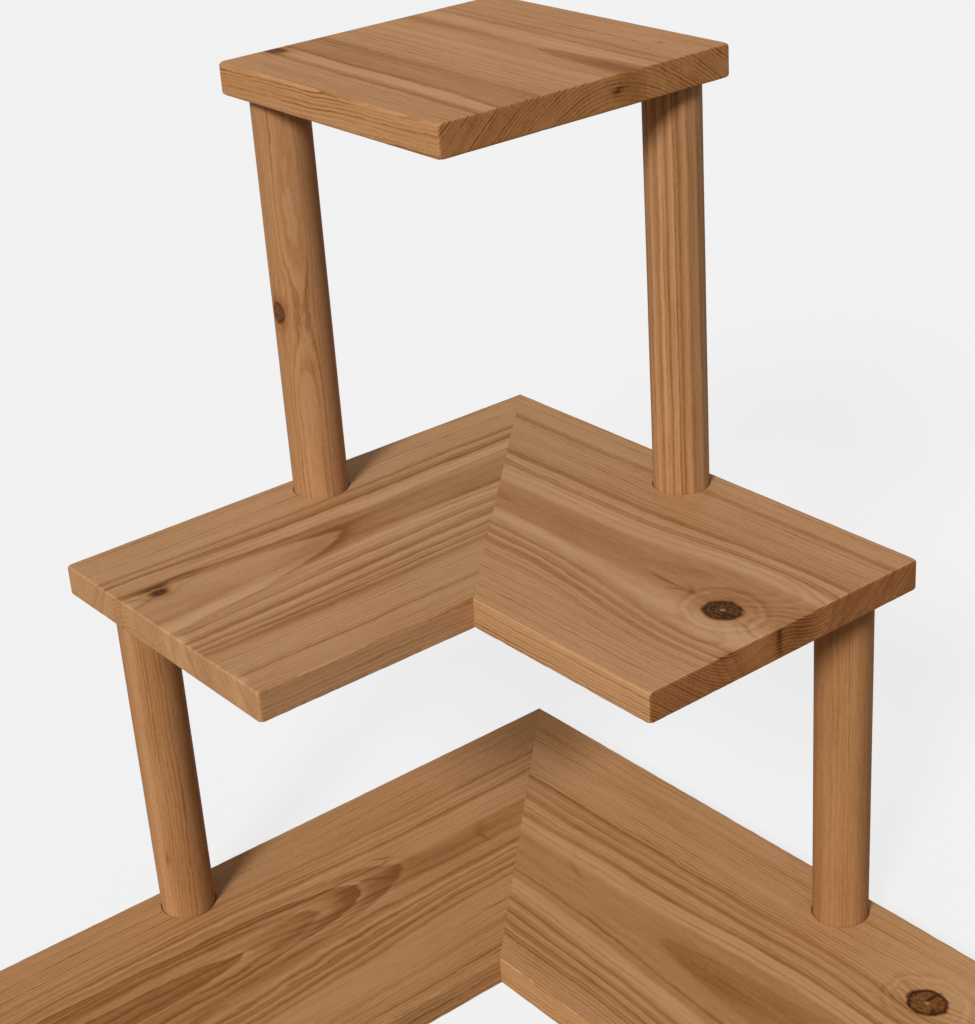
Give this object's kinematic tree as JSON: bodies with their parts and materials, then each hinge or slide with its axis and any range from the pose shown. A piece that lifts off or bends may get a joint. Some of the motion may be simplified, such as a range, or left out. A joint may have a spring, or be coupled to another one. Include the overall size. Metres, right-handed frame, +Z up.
{
  "type": "corner display stand",
  "caption": "Stepped wooden corner stand: a square top board over L-shaped mitred shelves, carried on round posts.",
  "frame": {"origin": "centre of the bounding box at the base shelf's underside", "axes": "+Z up; the room's corner is at +X +Y, the left arms run along -X and the right arms along -Y from it"},
  "size_m": [0.456, 0.456, 0.4985],
  "materials": {
    "shelf_wood": "oiled softwood",
    "post_wood": "oiled softwood dowel",
    "biscuit_wood": "pressed beech, unfinished",
    "screw_steel": "zinc-plated"
  },
  "bodies": {
    "root": {"top_board": "shelf_wood", "mid_left_board": "shelf_wood", "mid_right_board": "shelf_wood", "base_left_board": "shelf_wood", "base_right_board": "shelf_wood", "upper_left_post": "post_wood", "upper_right_post": "post_wood", "lower_left_post": "post_wood", "lower_right_post": "post_wood", "mid_mitre_biscuits": "biscuit_wood", "base_mitre_biscuits": "biscuit_wood", "mid_post_screws": "screw_steel", "base_post_screws": "screw_steel"}
  },
  "joints": []
}
